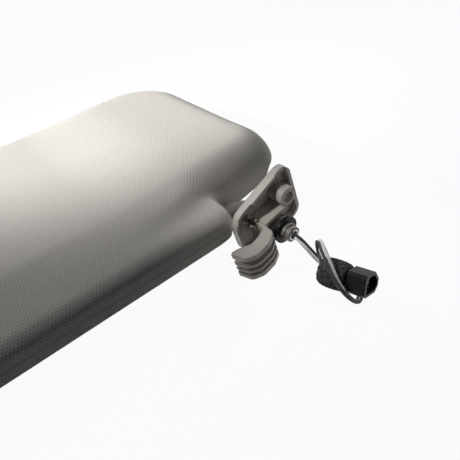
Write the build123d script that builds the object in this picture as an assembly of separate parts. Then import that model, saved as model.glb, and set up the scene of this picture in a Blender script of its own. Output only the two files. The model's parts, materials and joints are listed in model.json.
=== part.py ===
from build123d import *
import os
from math import asin, cos, degrees, pi, radians, sin, sqrt, tan

# Car sun visor, lying on its lower face with the pivot arm at +X.
# The model is laid out about the pivot point, where the arm axis (along X) crosses
# the post axis (along -Y), and is moved to its resting frame when it is written.

# ---------------------------------------------------------------- driving sizes (mm)
# blade: the padded panel
blade_length = 400.0
blade_depth = 163.5
blade_thick = 24.0
free_edge_thick = 17.5
rod_edge_reach = 11.5        # from the arm axis to the outside of the rod edge
blade_end_x = 42.0           # outboard end, beyond the post axis
collar_x = -16.0             # where the fabric opens round the arm
notch_rise = 15.0            # height of the outboard notch above the arm axis
nose_round = 8.4
nose_drop = 3.2              # how much slimmer each face is at the rod edge
edge_round = 7.0
free_corner_round = 40.0
end_corner_round = 24.0
collar_corner_round = 8.6
fabric_thick = 1.2
core_wall = 2.0
taper_start_y = 26.0

# pivot tube and its cover
arm_drop = 2.2               # how far the arm's axis lies below the blade's middle plane
tube_d = 5.8
tube_bore = 4.2
tube_inner_x = -150.0
cover_d = 10.6
cover_inner_x = -24.0
bend_round = 11.0
post_d = 10.0
post_collar_d = 9.2
post_end_d = 7.8
post_shoulder_h = 12.7
post_collar_h = 30.8
post_end_h = 33.2
tube_tip_h = 33.6
running_fit = 0.05
gap = 0.3

# bearings and friction clip inside the blade
bush_d = 8.0
outer_bush_x = -27.0
bush_length = 12.0
inner_bush_x = -146.0
carrier_x = -92.0
carrier_length = 44.0
carrier_width = 18.0
carrier_height = 10.8
carrier_wall = 2.0
clip_length = 30.0
clip_wall = 0.8
clip_ear = 4.6
stop_ring_d = 8.0
stop_ring_thick = 1.6

# inboard support peg
peg_d = 9.0
peg_root_d = 8.0
peg_exposed = 32.0
peg_buried = 34.0
peg_notch_rise = 12.0

# roof bracket, in its own directions: w along, u up, h out of the cabin
bracket_turn = 12.7
plate_h = 13.0
plate_thick = 2.0
rim_h = 18.2
rim_wall = 2.0
rim_notch = 0.7
barrel_d = 11.5
barrel_top_h = 26.8
ring_d = 14.0
ring_thick = 1.6
ring_gap = 0.2
collar_wall = 1.9
collar_h = 17.6
tower_w = 8.8
tower_u = 10.2
tower_d = 9.8
tower_top_h = 24.0
screw_hole_d = 5.5
screw_head_d = 7.4
screw_seat = 2.0
spine_u = 7.6
spine_wall = 1.8
spine_top_h = 25.2
hook_u_low = -9.2
hook_grooves = [(1.5, 4.6), (-2.7, -0.3), (-6.3, -4.1)]

# vanity unit
vanity_x = -158.0
vanity_y = 72.0
frame_length = 172.0
frame_width = 84.0
frame_corner = 10.0
frame_proud = 5.5
tub_length = 160.0
tub_width = 72.0
tub_wall = 1.6
tub_depth = 9.5
lid_length = 150.0
lid_width = 62.0
lid_thick = 2.4
lid_corner = 4.0
lid_recess = 0.2
lid_gap = 0.4
hinge_pin_d = 1.4
hinge_barrel_d = 3.0
hinge_pin_length = 9.0
glass_length = 92.0
glass_width = 50.0
glass_thick = 2.0
lens_length = 50.0
lens_width = 22.0
lens_thick = 1.4
lamp_d = 6.4
lamp_length = 29.0
lamp_cap_d = 5.6
lamp_cap_length = 4.5
contact_thick = 0.5

# lead with foam and connector
wire_d = 1.4
wire_pitch = 1.6
foam_d = 13.8
foam_length = 13.5
foam_round = 1.6
foam_hole_d = 4.4
housing_width = 12.6
housing_height = 10.2
housing_length = 9.0
housing_depth = 7.0
housing_wall = 1.2
housing_chamfer = 4.2
housing_small_chamfer = 1.2
neck_width = 8.4
neck_height = 6.0
neck_length = 5.0
lock_size = (4.8, 3.2, 4.4)
terminal_size = (1.5, 0.64, 6.5)
terminal_pitch = 4.4

# ---------------------------------------------------------------- derived places
inboard_x = blade_end_x - blade_length
free_edge_y = blade_depth - rod_edge_reach
lower_z = -blade_thick / 2
upper_z = blade_thick / 2
taper_angle = degrees(asin((blade_thick - free_edge_thick) / (free_edge_y - taper_start_y)))
peg_collar_x = inboard_x + peg_exposed + 2.0
table_z = lower_z - frame_proud
arm_z = -arm_drop
hook_reach_h = 34.3

# the resting frame: middle of the part, standing on z = 0
rest = Pos(-(inboard_x + blade_end_x) / 2, -(free_edge_y - hook_reach_h) / 2, -table_z)

bracket_plane = Plane(
    origin=(0, 0, 0),
    x_dir=(cos(radians(bracket_turn)), 0, sin(radians(bracket_turn))),
    z_dir=(0, -1, 0),
).location
post_place = Pos(0, 0, arm_z) * bracket_plane
across_arm = Plane(origin=(0, 0, 0), x_dir=(0, 1, 0), z_dir=(1, 0, 0)).location

parts = {}


def box(x0, x1, y0, y1, z0, z1):
    """A box between two corners."""
    return Pos((x0 + x1) / 2, (y0 + y1) / 2, (z0 + z1) / 2) * Box(x1 - x0, y1 - y0, z1 - z0)


def rod_x(x0, x1, diameter, y=0.0, z=arm_z):
    """A round bar along X, on the arm's axis unless a place is given."""
    return Pos((x0 + x1) / 2, y, z) * Rot(0, 90, 0) * Cylinder(diameter / 2, x1 - x0)


def rod_y(y0, y1, diameter, x=0.0, z=0.0):
    """A round bar along Y."""
    return Pos(x, (y0 + y1) / 2, z) * Rot(90, 0, 0) * Cylinder(diameter / 2, y1 - y0)


def post(h0, h1, diameter):
    """A round bar on the post's axis."""
    return post_place * Pos(0, 0, (h0 + h1) / 2) * Cylinder(diameter / 2, h1 - h0)


def boss(h0, h1, diameter, w, u):
    """A round bar that stands on the bracket's plate."""
    return bracket_plane * Pos(w, u, (h0 + h1) / 2) * Cylinder(diameter / 2, h1 - h0)


def rounded_plate(length, width, corner, low, high):
    """A rounded rectangle centred on the vanity unit."""
    outline = RectangleRounded(length, width, corner)
    return Pos(vanity_x, vanity_y, low) * extrude(outline, high - low, dir=(0, 0, 1))


# ---------------------------------------------------------------- blade
def blade_outline():
    """The blade seen from above: a notch round the arm and one round the peg."""
    rod_edge_y = -rod_edge_reach - 1
    points = [
        (collar_x, rod_edge_y),
        (collar_x, notch_rise * 0.45),
        (blade_end_x, notch_rise + 2.5),
        (blade_end_x, free_edge_y),
        (inboard_x, free_edge_y),
        (inboard_x, peg_notch_rise + 4),
        (peg_collar_x, peg_notch_rise),
        (peg_collar_x, rod_edge_y),
    ]
    radii = [
        collar_corner_round, 4.0, end_corner_round, free_corner_round,
        free_corner_round, 12.0, 4.0, collar_corner_round,
    ]
    return make_face(FilletPolyline(*points, radius=radii, close=True))


def nose_section():
    """The rod edge cut across: a soft nose whose sides run out past the flat faces."""
    half = upper_z - nose_drop
    slope = nose_drop / (taper_start_y + rod_edge_reach)
    wide_y = taper_start_y + 12
    wide_z = half + slope * (wide_y + rod_edge_reach)
    far_y = free_edge_y + 30
    points = [
        (-rod_edge_reach, half), (wide_y, wide_z), (far_y, wide_z),
        (far_y, -wide_z), (wide_y, -wide_z), (-rod_edge_reach, -half),
    ]
    return make_face(FilletPolyline(*points, radius=[nose_round, 0, 0, 0, 0, nose_round], close=True))


def blade_form(inset):
    """The blade's solid form, drawn in by an even inset."""
    plan = offset(blade_outline(), amount=-inset)
    body = Pos(0, 0, lower_z + inset) * extrude(plan, blade_thick - 2 * inset, dir=(0, 0, 1))
    slope = Pos(0, taper_start_y, upper_z - inset) * Rot(-taper_angle, 0, 0)
    body -= slope * Pos(-100, 100, 25) * Box(900, 400, 50)
    flat = [e for e in body.edges() if abs(e.tangent_at(0.5).Z) < 0.5]
    body = fillet(flat, edge_round - inset)
    section = offset(nose_section(), amount=-inset)
    length = blade_length + 20
    bar = Pos(inboard_x - 10, 0, 0) * across_arm * extrude(section, length, dir=(0, 0, 1))
    return body & bar


def split_halves(shell):
    """Upper and lower halves, parted on the arm's plane."""
    upper = shell & box(inboard_x - 5, blade_end_x + 5, -50, 200, 0, 40)
    lower = shell & box(inboard_x - 5, blade_end_x + 5, -50, 200, -40, 0)
    return upper, lower


def cradle_ribs():
    """Ribs across the rod edge that hold the bushes, the clip carrier and the peg."""
    places = [
        (outer_bush_x - bush_length, outer_bush_x, bush_d),
        (inner_bush_x - bush_length / 2, inner_bush_x + bush_length / 2, bush_d),
        (peg_collar_x + 3, peg_collar_x + peg_buried - 2, peg_root_d),
    ]
    for x0, x1, bore in places:
        for edge in (x0 + 1.2, x1 - 1.2):
            rib = box(edge - 1.0, edge + 1.0, -rod_edge_reach, taper_start_y, -20, 20)
            yield rib - rod_x(edge - 2, edge + 2, bore)


def core_ribs():
    """Stiffening ribs of the core, clear of the vanity tub and the rod edge."""
    tub_y0 = vanity_y - tub_width / 2 - 4
    tub_y1 = vanity_y + tub_width / 2 + 4
    yield box(inboard_x, blade_end_x, tub_y0 - 1.5, tub_y0, -20, 20)
    yield box(inboard_x, blade_end_x, tub_y1, tub_y1 + 1.5, -20, 20)
    for x in (vanity_x - tub_length / 2 - 5, vanity_x + tub_length / 2 + 5, -35.0, 5.0, -300.0):
        yield box(x - 0.75, x + 0.75, tub_y0, free_edge_y, -20, 20)


def make_blade():
    outside = blade_form(0.0)
    under_fabric = blade_form(fabric_thick)
    hollow = blade_form(fabric_thick + core_wall)
    arm_way = rod_x(collar_x - 12, collar_x + 40, cover_d + 2 * gap)
    peg_way = rod_x(inboard_x - 5, peg_collar_x + 8, peg_root_d)
    tub_way = rounded_plate(tub_length + 2 * gap, tub_width + 2 * gap, 4 + gap, lower_z - 2, 0)

    skin_upper, skin_lower = split_halves(outside - under_fabric - arm_way - peg_way)
    parts["fabric_upper"] = skin_upper
    parts["fabric_lower"] = skin_lower - tub_way

    wall = under_fabric - hollow
    ribs = [rib & hollow for rib in list(cradle_ribs()) + list(core_ribs())]
    carrier_way = box(
        carrier_x - carrier_length / 2, carrier_x + carrier_length / 2,
        -carrier_width / 2, carrier_width / 2, -carrier_height / 2, carrier_height / 2,
    )
    carrier_way += rod_x(
        carrier_x - carrier_length / 2, carrier_x + carrier_length / 2,
        tube_d + 2 * (clip_wall + gap),
    )
    for x in (carrier_x - 12, carrier_x + 12):
        rib = box(x - 1, x + 1, -rod_edge_reach, carrier_width / 2 + 6, -20, 20) & hollow
        ribs.append(rib - carrier_way)
    for rib in ribs:
        wall += rib
    wall -= arm_way
    wall -= peg_way
    wall -= box(tube_inner_x - 30, tube_inner_x - 14, 22, 34, -10, 0)
    core_upper, core_lower = split_halves(wall)
    tub_room = rounded_plate(tub_length + 2, tub_width + 2, 5, lower_z - 2, lower_z + tub_depth + 1)
    parts["core_upper"] = core_upper - tub_room
    parts["core_lower"] = core_lower - tub_way


# ---------------------------------------------------------------- pivot arm
def elbow_path(x_start, h_end):
    """Along the arm, round the elbow and out along the post."""
    return (
        Line((x_start, 0, arm_z), (-bend_round, 0, arm_z))
        + RadiusArc((-bend_round, 0, arm_z), (0, -bend_round, arm_z), bend_round)
        + Line((0, -bend_round, arm_z), (0, -h_end, arm_z))
    )


def swept(path, x_start, diameter):
    """A round bar along an elbow path."""
    section = Plane(origin=(x_start, 0, arm_z), z_dir=(1, 0, 0)) * Circle(diameter / 2)
    return sweep(section, path=path)


def make_arm():
    tube = swept(elbow_path(tube_inner_x, tube_tip_h), tube_inner_x, tube_d)
    tube -= swept(elbow_path(tube_inner_x, tube_tip_h), tube_inner_x, tube_bore)
    parts["pivot_tube"] = tube

    cover = swept(elbow_path(cover_inner_x, post_shoulder_h), cover_inner_x, cover_d)
    cover += post(post_shoulder_h, barrel_top_h, post_d)
    cover += post(barrel_top_h, post_collar_h, post_collar_d)
    cover += post(post_collar_h, post_end_h, post_end_d)
    cover -= swept(elbow_path(cover_inner_x, post_end_h), cover_inner_x, tube_d)
    parts["elbow_cover"] = cover

    stop_x = inner_bush_x + bush_length / 2 + gap
    ring = rod_x(stop_x, stop_x + stop_ring_thick, stop_ring_d)
    parts["tube_stop_ring"] = ring - rod_x(stop_x - 1, stop_x + 5, tube_d)


# ---------------------------------------------------------------- bearings, clip, peg
def make_bearings():
    x0, x1 = outer_bush_x - bush_length, outer_bush_x
    bush = rod_x(x0, x1, bush_d) - rod_x(x0 - 1, x1 + 1, tube_d + 2 * running_fit)
    parts["outer_bush"] = bush
    x0, x1 = inner_bush_x - bush_length / 2, inner_bush_x + bush_length / 2
    bush = rod_x(x0, x1, bush_d) - rod_x(x0 - 1, x1 + 1, tube_d + 2 * running_fit)
    parts["inner_bush"] = bush

    half = carrier_length / 2
    width, height = carrier_width / 2, carrier_height / 2
    carrier = box(carrier_x - half, carrier_x + half, -6.4, width, -height, height)
    nose_side = carrier.faces().sort_by(Axis.Y)[0].edges().filter_by(Axis.X)
    carrier = chamfer(nose_side, 2.6)
    inner = half - carrier_wall
    carrier -= box(carrier_x - inner, carrier_x + inner, -4.9, width + 1, -height - 1, 4.2)
    saddle = tube_d / 2 + gap
    carrier -= rod_x(carrier_x - half - 1, carrier_x + half + 1, 2 * saddle)
    carrier -= box(carrier_x - half - 1, carrier_x + half + 1, -saddle, saddle, -height - 1, arm_z)
    parts["clip_carrier"] = carrier

    x0, x1 = carrier_x - clip_length / 2, carrier_x + clip_length / 2
    clip_d = tube_d + 2 * running_fit
    clip = rod_x(x0, x1, clip_d + 2 * clip_wall)
    ear_z = 0.5 + clip_wall
    clip += box(x0, x1, 2, clip_d / 2 + clip_ear, arm_z - ear_z, arm_z + ear_z)
    clip -= rod_x(x0 - 1, x1 + 1, clip_d)
    clip -= box(x0 - 1, x1 + 1, 0, clip_d / 2 + clip_ear + 1, arm_z - 0.5, arm_z + 0.5)
    rivet_y = clip_d / 2 + clip_ear - 1.8
    for dx in (-9, 9):
        clip -= Pos(carrier_x + dx, rivet_y, arm_z) * Cylinder(1.0, 10)
    parts["detent_clip"] = clip
    rivets = []
    for dx in (-9, 9):
        shank = Cylinder(1.0, 2 * ear_z)
        heads = Pos(0, 0, ear_z + 0.4) * Cylinder(1.7, 0.8) + Pos(0, 0, -ear_z - 0.4) * Cylinder(1.7, 0.8)
        rivets.append(Pos(carrier_x + dx, rivet_y, arm_z) * (shank + heads))
    parts["clip_rivets"] = Compound(children=rivets)

    x0 = inboard_x + 2.0
    x1 = peg_collar_x + peg_buried
    peg = rod_x(x0, peg_collar_x, peg_d)
    peg = chamfer(peg.faces().sort_by(Axis.X)[0].edges(), 1.0)
    peg += rod_x(peg_collar_x, x1, peg_root_d)
    groove = rod_x(x1 - 12, x1 - 9, peg_d) - rod_x(x1 - 12, x1 - 9, peg_root_d - 2)
    parts["support_peg"] = peg - groove


# ---------------------------------------------------------------- vanity unit
def make_vanity():
    recess_z = table_z + lid_recess + hinge_barrel_d + 0.8
    plate_z = recess_z + 1.8
    tub_z = lower_z + tub_depth
    frame = rounded_plate(frame_length, frame_width, frame_corner, table_z, lower_z)
    frame = chamfer(frame.faces().sort_by(Axis.Z)[0].edges(), 1.6)
    frame += rounded_plate(tub_length, tub_width, 4, lower_z, plate_z)
    frame -= rounded_plate(lid_length + 2 * lid_gap, lid_width + 2 * lid_gap, lid_corner + lid_gap,
                           table_z - 1, recess_z)
    half_length = lid_length / 2 + lid_gap
    hinge_y = vanity_y - lid_width / 2 - lid_gap
    frame -= box(vanity_x - half_length, vanity_x + half_length, hinge_y, hinge_y + 8, table_z - 1, recess_z)
    glass_z = recess_z + glass_thick
    frame += rounded_plate(glass_length + 4, glass_width + 4, 3, plate_z, glass_z + 1.4)
    frame -= rounded_plate(glass_length + 2 * running_fit, glass_width + 2 * running_fit, 2, recess_z - 1, glass_z)
    parts["mirror_glass"] = rounded_plate(glass_length, glass_width, 2, recess_z, glass_z)

    lamp_z = recess_z + lens_thick + 1.0 + lamp_d / 2
    for name, side in (("inboard", -1), ("outboard", 1)):
        x = vanity_x + side * (glass_length / 2 + 5 + lens_width / 2)
        wide, long = lens_width / 2, lens_length / 2
        frame += box(x - wide - tub_wall, x + wide + tub_wall, vanity_y - long - tub_wall,
                     vanity_y + long + tub_wall, lower_z, tub_z)
        frame -= box(x - wide, x + wide, vanity_y - long, vanity_y + long, recess_z - 1, tub_z - tub_wall)
        lens = box(x - wide + 0.02, x + wide - 0.02, vanity_y - long + 0.02, vanity_y + long - 0.02,
                   recess_z, recess_z + lens_thick)
        parts["lamp_lens_" + name] = lens
        bulb = rod_y(vanity_y - lamp_length / 2 + lamp_cap_length, vanity_y + lamp_length / 2 - lamp_cap_length,
                     lamp_d, x, lamp_z)
        caps = rod_y(vanity_y - lamp_length / 2, vanity_y + lamp_length / 2, lamp_cap_d, x, lamp_z)
        parts["festoon_lamp_" + name] = bulb + caps
        strips = []
        for end in (-1, 1):
            y = vanity_y + end * (lamp_length / 2 + contact_thick / 2)
            strip = box(x - 3, x + 3, y - contact_thick / 2, y + contact_thick / 2, lamp_z - 2.4, tub_z - tub_wall)
            foot_y = sorted((y, y + end * 6))
            foot = box(x - 3, x + 3, foot_y[0], foot_y[1], tub_z - tub_wall - contact_thick, tub_z - tub_wall)
            strips.append(strip + foot)
        parts["lamp_contacts_" + name] = Compound(children=strips)

    axis_y = vanity_y - lid_width / 2 + hinge_barrel_d / 2
    axis_z = table_z + lid_recess + hinge_barrel_d / 2
    lid = rounded_plate(lid_length, lid_width, lid_corner, table_z + lid_recess, table_z + lid_recess + lid_thick)
    lid -= box(vanity_x - lid_length, vanity_x + lid_length, vanity_y - lid_width, axis_y, -40, 0)
    lid += rod_x(vanity_x - lid_length / 2, vanity_x + lid_length / 2, hinge_barrel_d, axis_y, axis_z)
    thumb = Pos(vanity_x, vanity_y + lid_width / 2 + 5, table_z) * Cylinder(11, 3)
    pins = []
    for side in (-1, 1):
        inner_x = vanity_x + side * (lid_length / 2 - hinge_pin_length / 2)
        outer_x = vanity_x + side * (lid_length / 2 + lid_gap + hinge_pin_length / 2)
        x0, x1 = sorted((inner_x, outer_x))
        lid -= rod_x(x0 - 0.3, x1 + 0.3, hinge_pin_d + 2 * running_fit, axis_y, axis_z)
        frame -= rod_x(x0, x1, hinge_pin_d, axis_y, axis_z)
        pins.append(rod_x(x0, x1, hinge_pin_d, axis_y, axis_z))
    frame -= thumb
    parts["vanity_frame"] = frame
    parts["vanity_lid"] = lid
    parts["lid_hinge_pins"] = Compound(children=pins)
    leaf_z = recess_z - gap
    leaf = box(vanity_x - 8, vanity_x + 8, axis_y - 1.2, axis_y + 5, leaf_z, recess_z)
    parts["lid_leaf_spring"] = leaf


# ---------------------------------------------------------------- roof bracket
def bracket_outline():
    """Rounded plate: long upper side, pointed top, foot round the post."""
    points = [(-20.2, 13.8), (17.3, 23.2), (19.0, -12.8), (-20.2, -11.0)]
    return make_face(FilletPolyline(*points, radius=[9.0, 5.0, 6.0, 8.0], close=True))


def raised(face, low, high):
    """A face drawn in (w, u), raised between two h heights of the bracket."""
    return bracket_plane * Pos(0, 0, low) * extrude(face, high - low, dir=(0, 0, 1))


def slab(w0, w1, u0, u1, h0, h1):
    """A box in the bracket's directions."""
    block = Pos((w0 + w1) / 2, (u0 + u1) / 2, (h0 + h1) / 2) * Box(w1 - w0, u1 - u0, h1 - h0)
    return bracket_plane * block


def hook_block():
    """The finned hook, drawn in (w, h) and stretched along u."""
    u_high = spine_u - 0.2
    outer = [(-7.6, 24.6), (-9.0, 26.4), (-9.4, 31.0), (-15.3, 33.9), (-22.9, hook_reach_h), (-28.4, 31.6), (-30.6, 24.4)]
    inner = [(-29.0, 23.8), (-26.6, 24.4), (-20.0, 27.6), (-15.5, 27.0), (-11.2, 25.6), (-10.4, 20.0),
             (-10.2, plate_h + 1), (-7.6, plate_h + 1), (-7.3, 20.0)]
    radii = [0, 0.8, 3, 4, 5, 4, 0.5, 0.5, 2, 4, 3, 1.5, 2, 0, 0, 0]
    side = Plane(origin=(0, 0, 0), x_dir=(1, 0, 0), z_dir=(0, -1, 0))
    outline = make_face(side * FilletPolyline(*outer, *inner, radius=radii, close=True))
    block = Pos(0, hook_u_low, 0) * extrude(outline, u_high - hook_u_low, dir=(0, 1, 0))
    # grooves between the fins, cut into the outer side only
    deep = make_face(side * FilletPolyline(
        (-9.8, 28.2), (-15.0, 30.2), (-22.0, 30.4), (-25.6, 28.8), (-27.0, 23.0), (-40, 23), (-40, 45), (-5, 45), (-5, 28.2),
        radius=[0, 4, 5, 4, 0, 0, 0, 0, 0], close=True))
    for low, high in hook_grooves:
        block -= Pos(0, low, 0) * extrude(deep, high - low, dir=(0, 1, 0))
    return bracket_plane * block


def stepped_rib(start, end, step_at, low_h, high_h):
    """A thin rib on the plate floor, from the rim to the hook, with a step."""
    run = Vector(end[0] - start[0], end[1] - start[1], 0)
    turn = degrees(asin(run.Y / run.length))
    rib = Pos(run.length / 2, 0, (plate_h + 1 + low_h) / 2) * Box(run.length, 1.2, low_h - plate_h - 1)
    rest_length = run.length - step_at
    rib += Pos(step_at + rest_length / 2, 0, (plate_h + 1 + high_h) / 2) * Box(rest_length, 1.2, high_h - plate_h - 1)
    return bracket_plane * Pos(start[0], start[1], 0) * Rot(0, 0, turn) * rib


def make_bracket():
    outline = bracket_outline()
    base = raised(outline, plate_h, rim_h)
    base = chamfer(base.faces().sort_by(Axis.Y)[-1].edges(), 0.8)
    floor_h = plate_h + plate_thick
    base -= raised(offset(outline, amount=-rim_wall), floor_h, rim_h + 1)
    edge = raised(outline, rim_h - rim_notch, rim_h + 1)
    base -= edge & slab(8.8, 15.2, 10, 30, 0, 40)
    base -= edge & slab(-17.5, -8.5, 8, 30, 0, 40)

    inside = raised(offset(outline, amount=-rim_wall / 2), plate_h, rim_h + 20)
    base += post(plate_h + 0.5, collar_h, barrel_d + 2 * collar_wall)
    base += boss(plate_h + 0.5, tower_top_h, tower_d, tower_w, tower_u)
    spine_end = tower_w - tower_d / 2 + 1.2
    base += slab(-9.0, spine_end, spine_u - spine_wall, spine_u, plate_h + 1, spine_top_h)
    base += slab(tower_w - 0.8, tower_w + 0.8, tower_u, 21.5, plate_h + 1, rim_h - 1) & inside
    base += slab(tower_w, 18, tower_u - 1.4, tower_u + 0.2, plate_h + 1, rim_h - 1) & inside
    base += hook_block()
    base += stepped_rib((-12.6, 12.2), (-6.6, 4.0), 4.2, rim_h - 0.4, 20.6)
    base += stepped_rib((-16.0, 11.4), (-9.4, 2.4), 4.6, rim_h - 0.4, 20.6)

    base -= boss(tower_top_h - screw_seat - 20, tower_top_h - screw_seat, screw_head_d, tower_w, tower_u)
    base -= boss(0, 40, screw_hole_d, tower_w, tower_u)
    base -= post(0, 60, barrel_d)
    parts["roof_bracket"] = base

    sleeve = post(plate_h + 0.1, barrel_top_h, barrel_d) - post(0, 60, post_d + 2 * running_fit)
    sleeve -= Pos(0, 0, arm_z) * slab(2.0, 4.4, 0, 10, barrel_top_h - 4.2, barrel_top_h - 2.0)
    parts["swivel_sleeve"] = sleeve
    ring_h = barrel_top_h + ring_gap
    ring = post(ring_h, ring_h + ring_thick, ring_d) - post(0, 60, post_collar_d)
    for turn in (40, 160, 280):
        ring -= post_place * Rot(0, 0, turn) * Pos(ring_d / 2 + 0.4, 0, ring_h) * Cylinder(1.0, 6)
    parts["retaining_ring"] = ring


# ---------------------------------------------------------------- lead
# The lead's route from the tube mouth: down to the table, forward beside the foam, round in
# a loop over it and back into its rear. Each row is a point midway between the two wires,
# then the step from there to the black wire. The white wire lies as far on the other side.
lead_route = [
    ((0.0, -33.6, -2.2), (0.0, 0.0, 0.8)),
    ((0.2, -37.2, -3.0), (0.5, 0.0, 0.62)),
    ((1.2, -41.6, -6.8), (0.7, 0.0, 0.4)),
    ((2.8, -46.2, -11.6), (0.76, 0.0, 0.3)),
    ((5.0, -50.4, -15.4), (0.8, 0.1, 0.1)),
    ((8.0, -54.6, -16.75), (0.7, 0.4, 0.0)),
    ((9.4, -60.4, -16.75), (0.8, -0.05, 0.0)),
    ((7.8, -66.6, -16.75), (0.74, -0.3, 0.0)),
    ((3.4, -71.2, -16.75), (0.5, -0.62, 0.0)),
    ((-2.4, -73.8, -15.6), (0.0, -0.8, 0.0)),
    ((-6.0, -71.2, -11.0), (-0.6, -0.5, -0.2)),
    ((-7.7, -66.2, -5.0), (-0.75, -0.2, -0.2)),
    ((-5.8, -60.4, -0.4), (-0.72, 0.2, -0.28)),
    ((-3.4, -54.8, 2.6), (-0.72, 0.25, -0.26)),
    ((-0.2, -49.6, 3.2), (-0.72, 0.25, -0.26)),
    ((2.8, -45.8, 0.6), (-0.7, 0.38, -0.1)),
    ((4.0, -45.2, -4.4), (-0.66, 0.46, 0.0)),
    ((2.8, -47.6, -8.4), (-0.67, 0.42, 0.1)),
    ((0.4, -51.4, -10.2), (-0.56, 0.1, 0.56)),
    ((-0.6, -56.0, -10.2), (-0.4, 0.0, 0.69)),
]
foam_middle = Vector(-0.6, -59.4, table_z + 8.1)
housing_mouth = Vector(3.6, -75.6, table_z + 10.9)
housing_heading = -80.0
housing_nose_up = 10.0
housing_roll = 22.0

foam_place = Pos(*foam_middle) * Rot(0, 0, housing_heading) * Rot(0, 90 - housing_nose_up, 0)
housing_place = (
    Pos(*housing_mouth)
    * Rot(0, 0, housing_heading + 90)
    * Rot(90 - housing_nose_up, 0, 0)
    * Rot(0, 0, -housing_roll)
)


def wire_points(side):
    """The route of one wire: side +1 is the black one, -1 the white one."""
    return [Vector(*point) + Vector(*step) * side for point, step in lead_route]


def cord_tube(points, diameter):
    """A round cord of straight runs joined by arcs as large as the runs allow."""
    radii = []
    for before, here, after in zip(points, points[1:], points[2:]):
        turn = radians((here - before).get_angle(after - here))
        radii.append(0.45 * min((here - before).length, (after - here).length) / tan(turn / 2))
    print("wire radii", [round(r, 1) for r in radii])
    path = FilletPolyline(*points, radius=radii)
    section = Plane(origin=points[0], z_dir=points[1] - points[0]) * Circle(diameter / 2)
    tube = sweep(section, path=path)
    print("wire volume / (section x length)", tube.volume / (pi * diameter**2 / 4 * path.length))
    return tube


def make_connector():
    """The two-way connector: a mouth facing out, a neck for the foam, lock and blades."""
    width, height = housing_width / 2, housing_height / 2
    big, small = housing_chamfer, housing_small_chamfer
    points = [
        (-width, small - height), (-width, height - small), (small - width, height),
        (width - big, height), (width, height - big), (width, big * 0.6 - height),
        (width - big * 0.6, -height), (small - width, -height),
    ]
    outline = make_face(Polyline(*points, close=True))
    housing = Pos(0, 0, -housing_length) * extrude(outline, housing_length, dir=(0, 0, 1))
    mouth = extrude(offset(outline, amount=-housing_wall), housing_length, dir=(0, 0, 1))
    housing -= Pos(0, 0, -housing_depth) * mouth
    neck = Rectangle(neck_width, neck_height)
    housing += Pos(0, 0, -housing_length - neck_length) * extrude(neck, neck_length, dir=(0, 0, 1))
    lock_width, lock_height, lock_length = lock_size
    lock = Pos(0, 0, lock_length / 2 - housing_depth) * Box(lock_width, lock_height, lock_length)
    blades = []
    for side in (-1, 1):
        x = side * terminal_pitch / 2
        blade = Pos(x, -lock_height / 2 - 1.2, terminal_size[2] / 2 - housing_depth - 2.0) * Box(*terminal_size)
        housing -= blade
        blades.append(housing_place * blade)
    parts["connector_housing"] = housing_place * housing
    parts["connector_lock"] = housing_place * lock
    parts["connector_terminals"] = Compound(children=blades)


def make_foam():
    """The foam roll round the connector's neck and the wires behind it."""
    roll = Cylinder(foam_d / 2, foam_length)
    foam = foam_place * fillet(roll.edges().filter_by(GeomType.CIRCLE), foam_round)
    grown_neck = Rectangle(neck_width + 0.1, neck_height + 0.1)
    body = Rectangle(housing_width + 0.2, housing_height + 0.2)
    neck_room = Pos(0, 0, -housing_length - neck_length - 0.05) * extrude(grown_neck, 20, dir=(0, 0, 1))
    body_room = Pos(0, 0, -housing_length - 0.05) * extrude(body, 20, dir=(0, 0, 1))
    foam -= housing_place * neck_room
    foam -= housing_place * body_room
    inlet = Vector(*lead_route[-2][0])
    outlet = Vector(*lead_route[-1][0])
    way = outlet - inlet
    slot = Plane(origin=outlet - way * 1.2, z_dir=way, x_dir=(1, 0, 0))
    foam -= slot * Pos(0, 0, way.length * 0.8) * extrude(Circle(foam_hole_d / 2), way.length * 1.0, both=True)
    parts["foam_wrap"] = foam


def make_wires():
    for name, side in (("black_wire", 1), ("white_wire", -1)):
        parts[name] = cord_tube(wire_points(side), wire_d)
    in_arm = []
    in_blade = []
    half = wire_pitch / 2
    for side in (-1, 1):
        path = Pos(0, 0, side * half) * elbow_path(tube_inner_x, tube_tip_h)
        z = arm_z + side * half
        section = Plane(origin=(tube_inner_x, 0, z), z_dir=(1, 0, 0)) * Circle(wire_d / 2)
        in_arm.append(sweep(section, path=path))
        turn_x = tube_inner_x - 14
        points = [(tube_inner_x, 0, z), (turn_x, 0, z), (turn_x - 6, 18, z - 2), (turn_x - 8, 33.0, z - 3)]
        route = [Vector(*p) for p in points]
        in_blade.append(cord_tube(route, wire_d))
    parts["arm_wires"] = Compound(children=in_arm)
    parts["blade_wires"] = Compound(children=in_blade)


def make_lead():
    make_connector()
    make_foam()
    make_wires()


# ---------------------------------------------------------------- write every piece
make_blade()
make_arm()
make_bearings()
make_vanity()
make_bracket()
make_lead()

os.makedirs("parts", exist_ok=True)
for name, shape in parts.items():
    export_step(rest * shape, "parts/" + name + ".step")
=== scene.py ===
# %% [markdown]
# # A car sun visor, dressed for its portrait
# The visor's solids arrive as a fixed frame: a padded blade, a pivot arm, a roof
# bracket, a vanity unit and a short lead. This lesson leaves every rigid solid where it
# is, gives it the finish of the real piece, and rebuilds what is soft: the knitted
# cover, the foam roll and the two wires.

# %% Load the frame
import json
from math import acos, atan2, pi, radians, sin, sqrt, tan

import bmesh
import bpy
from mathutils import Matrix, Vector, kdtree, noise
from mathutils.bvhtree import BVHTree


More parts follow.
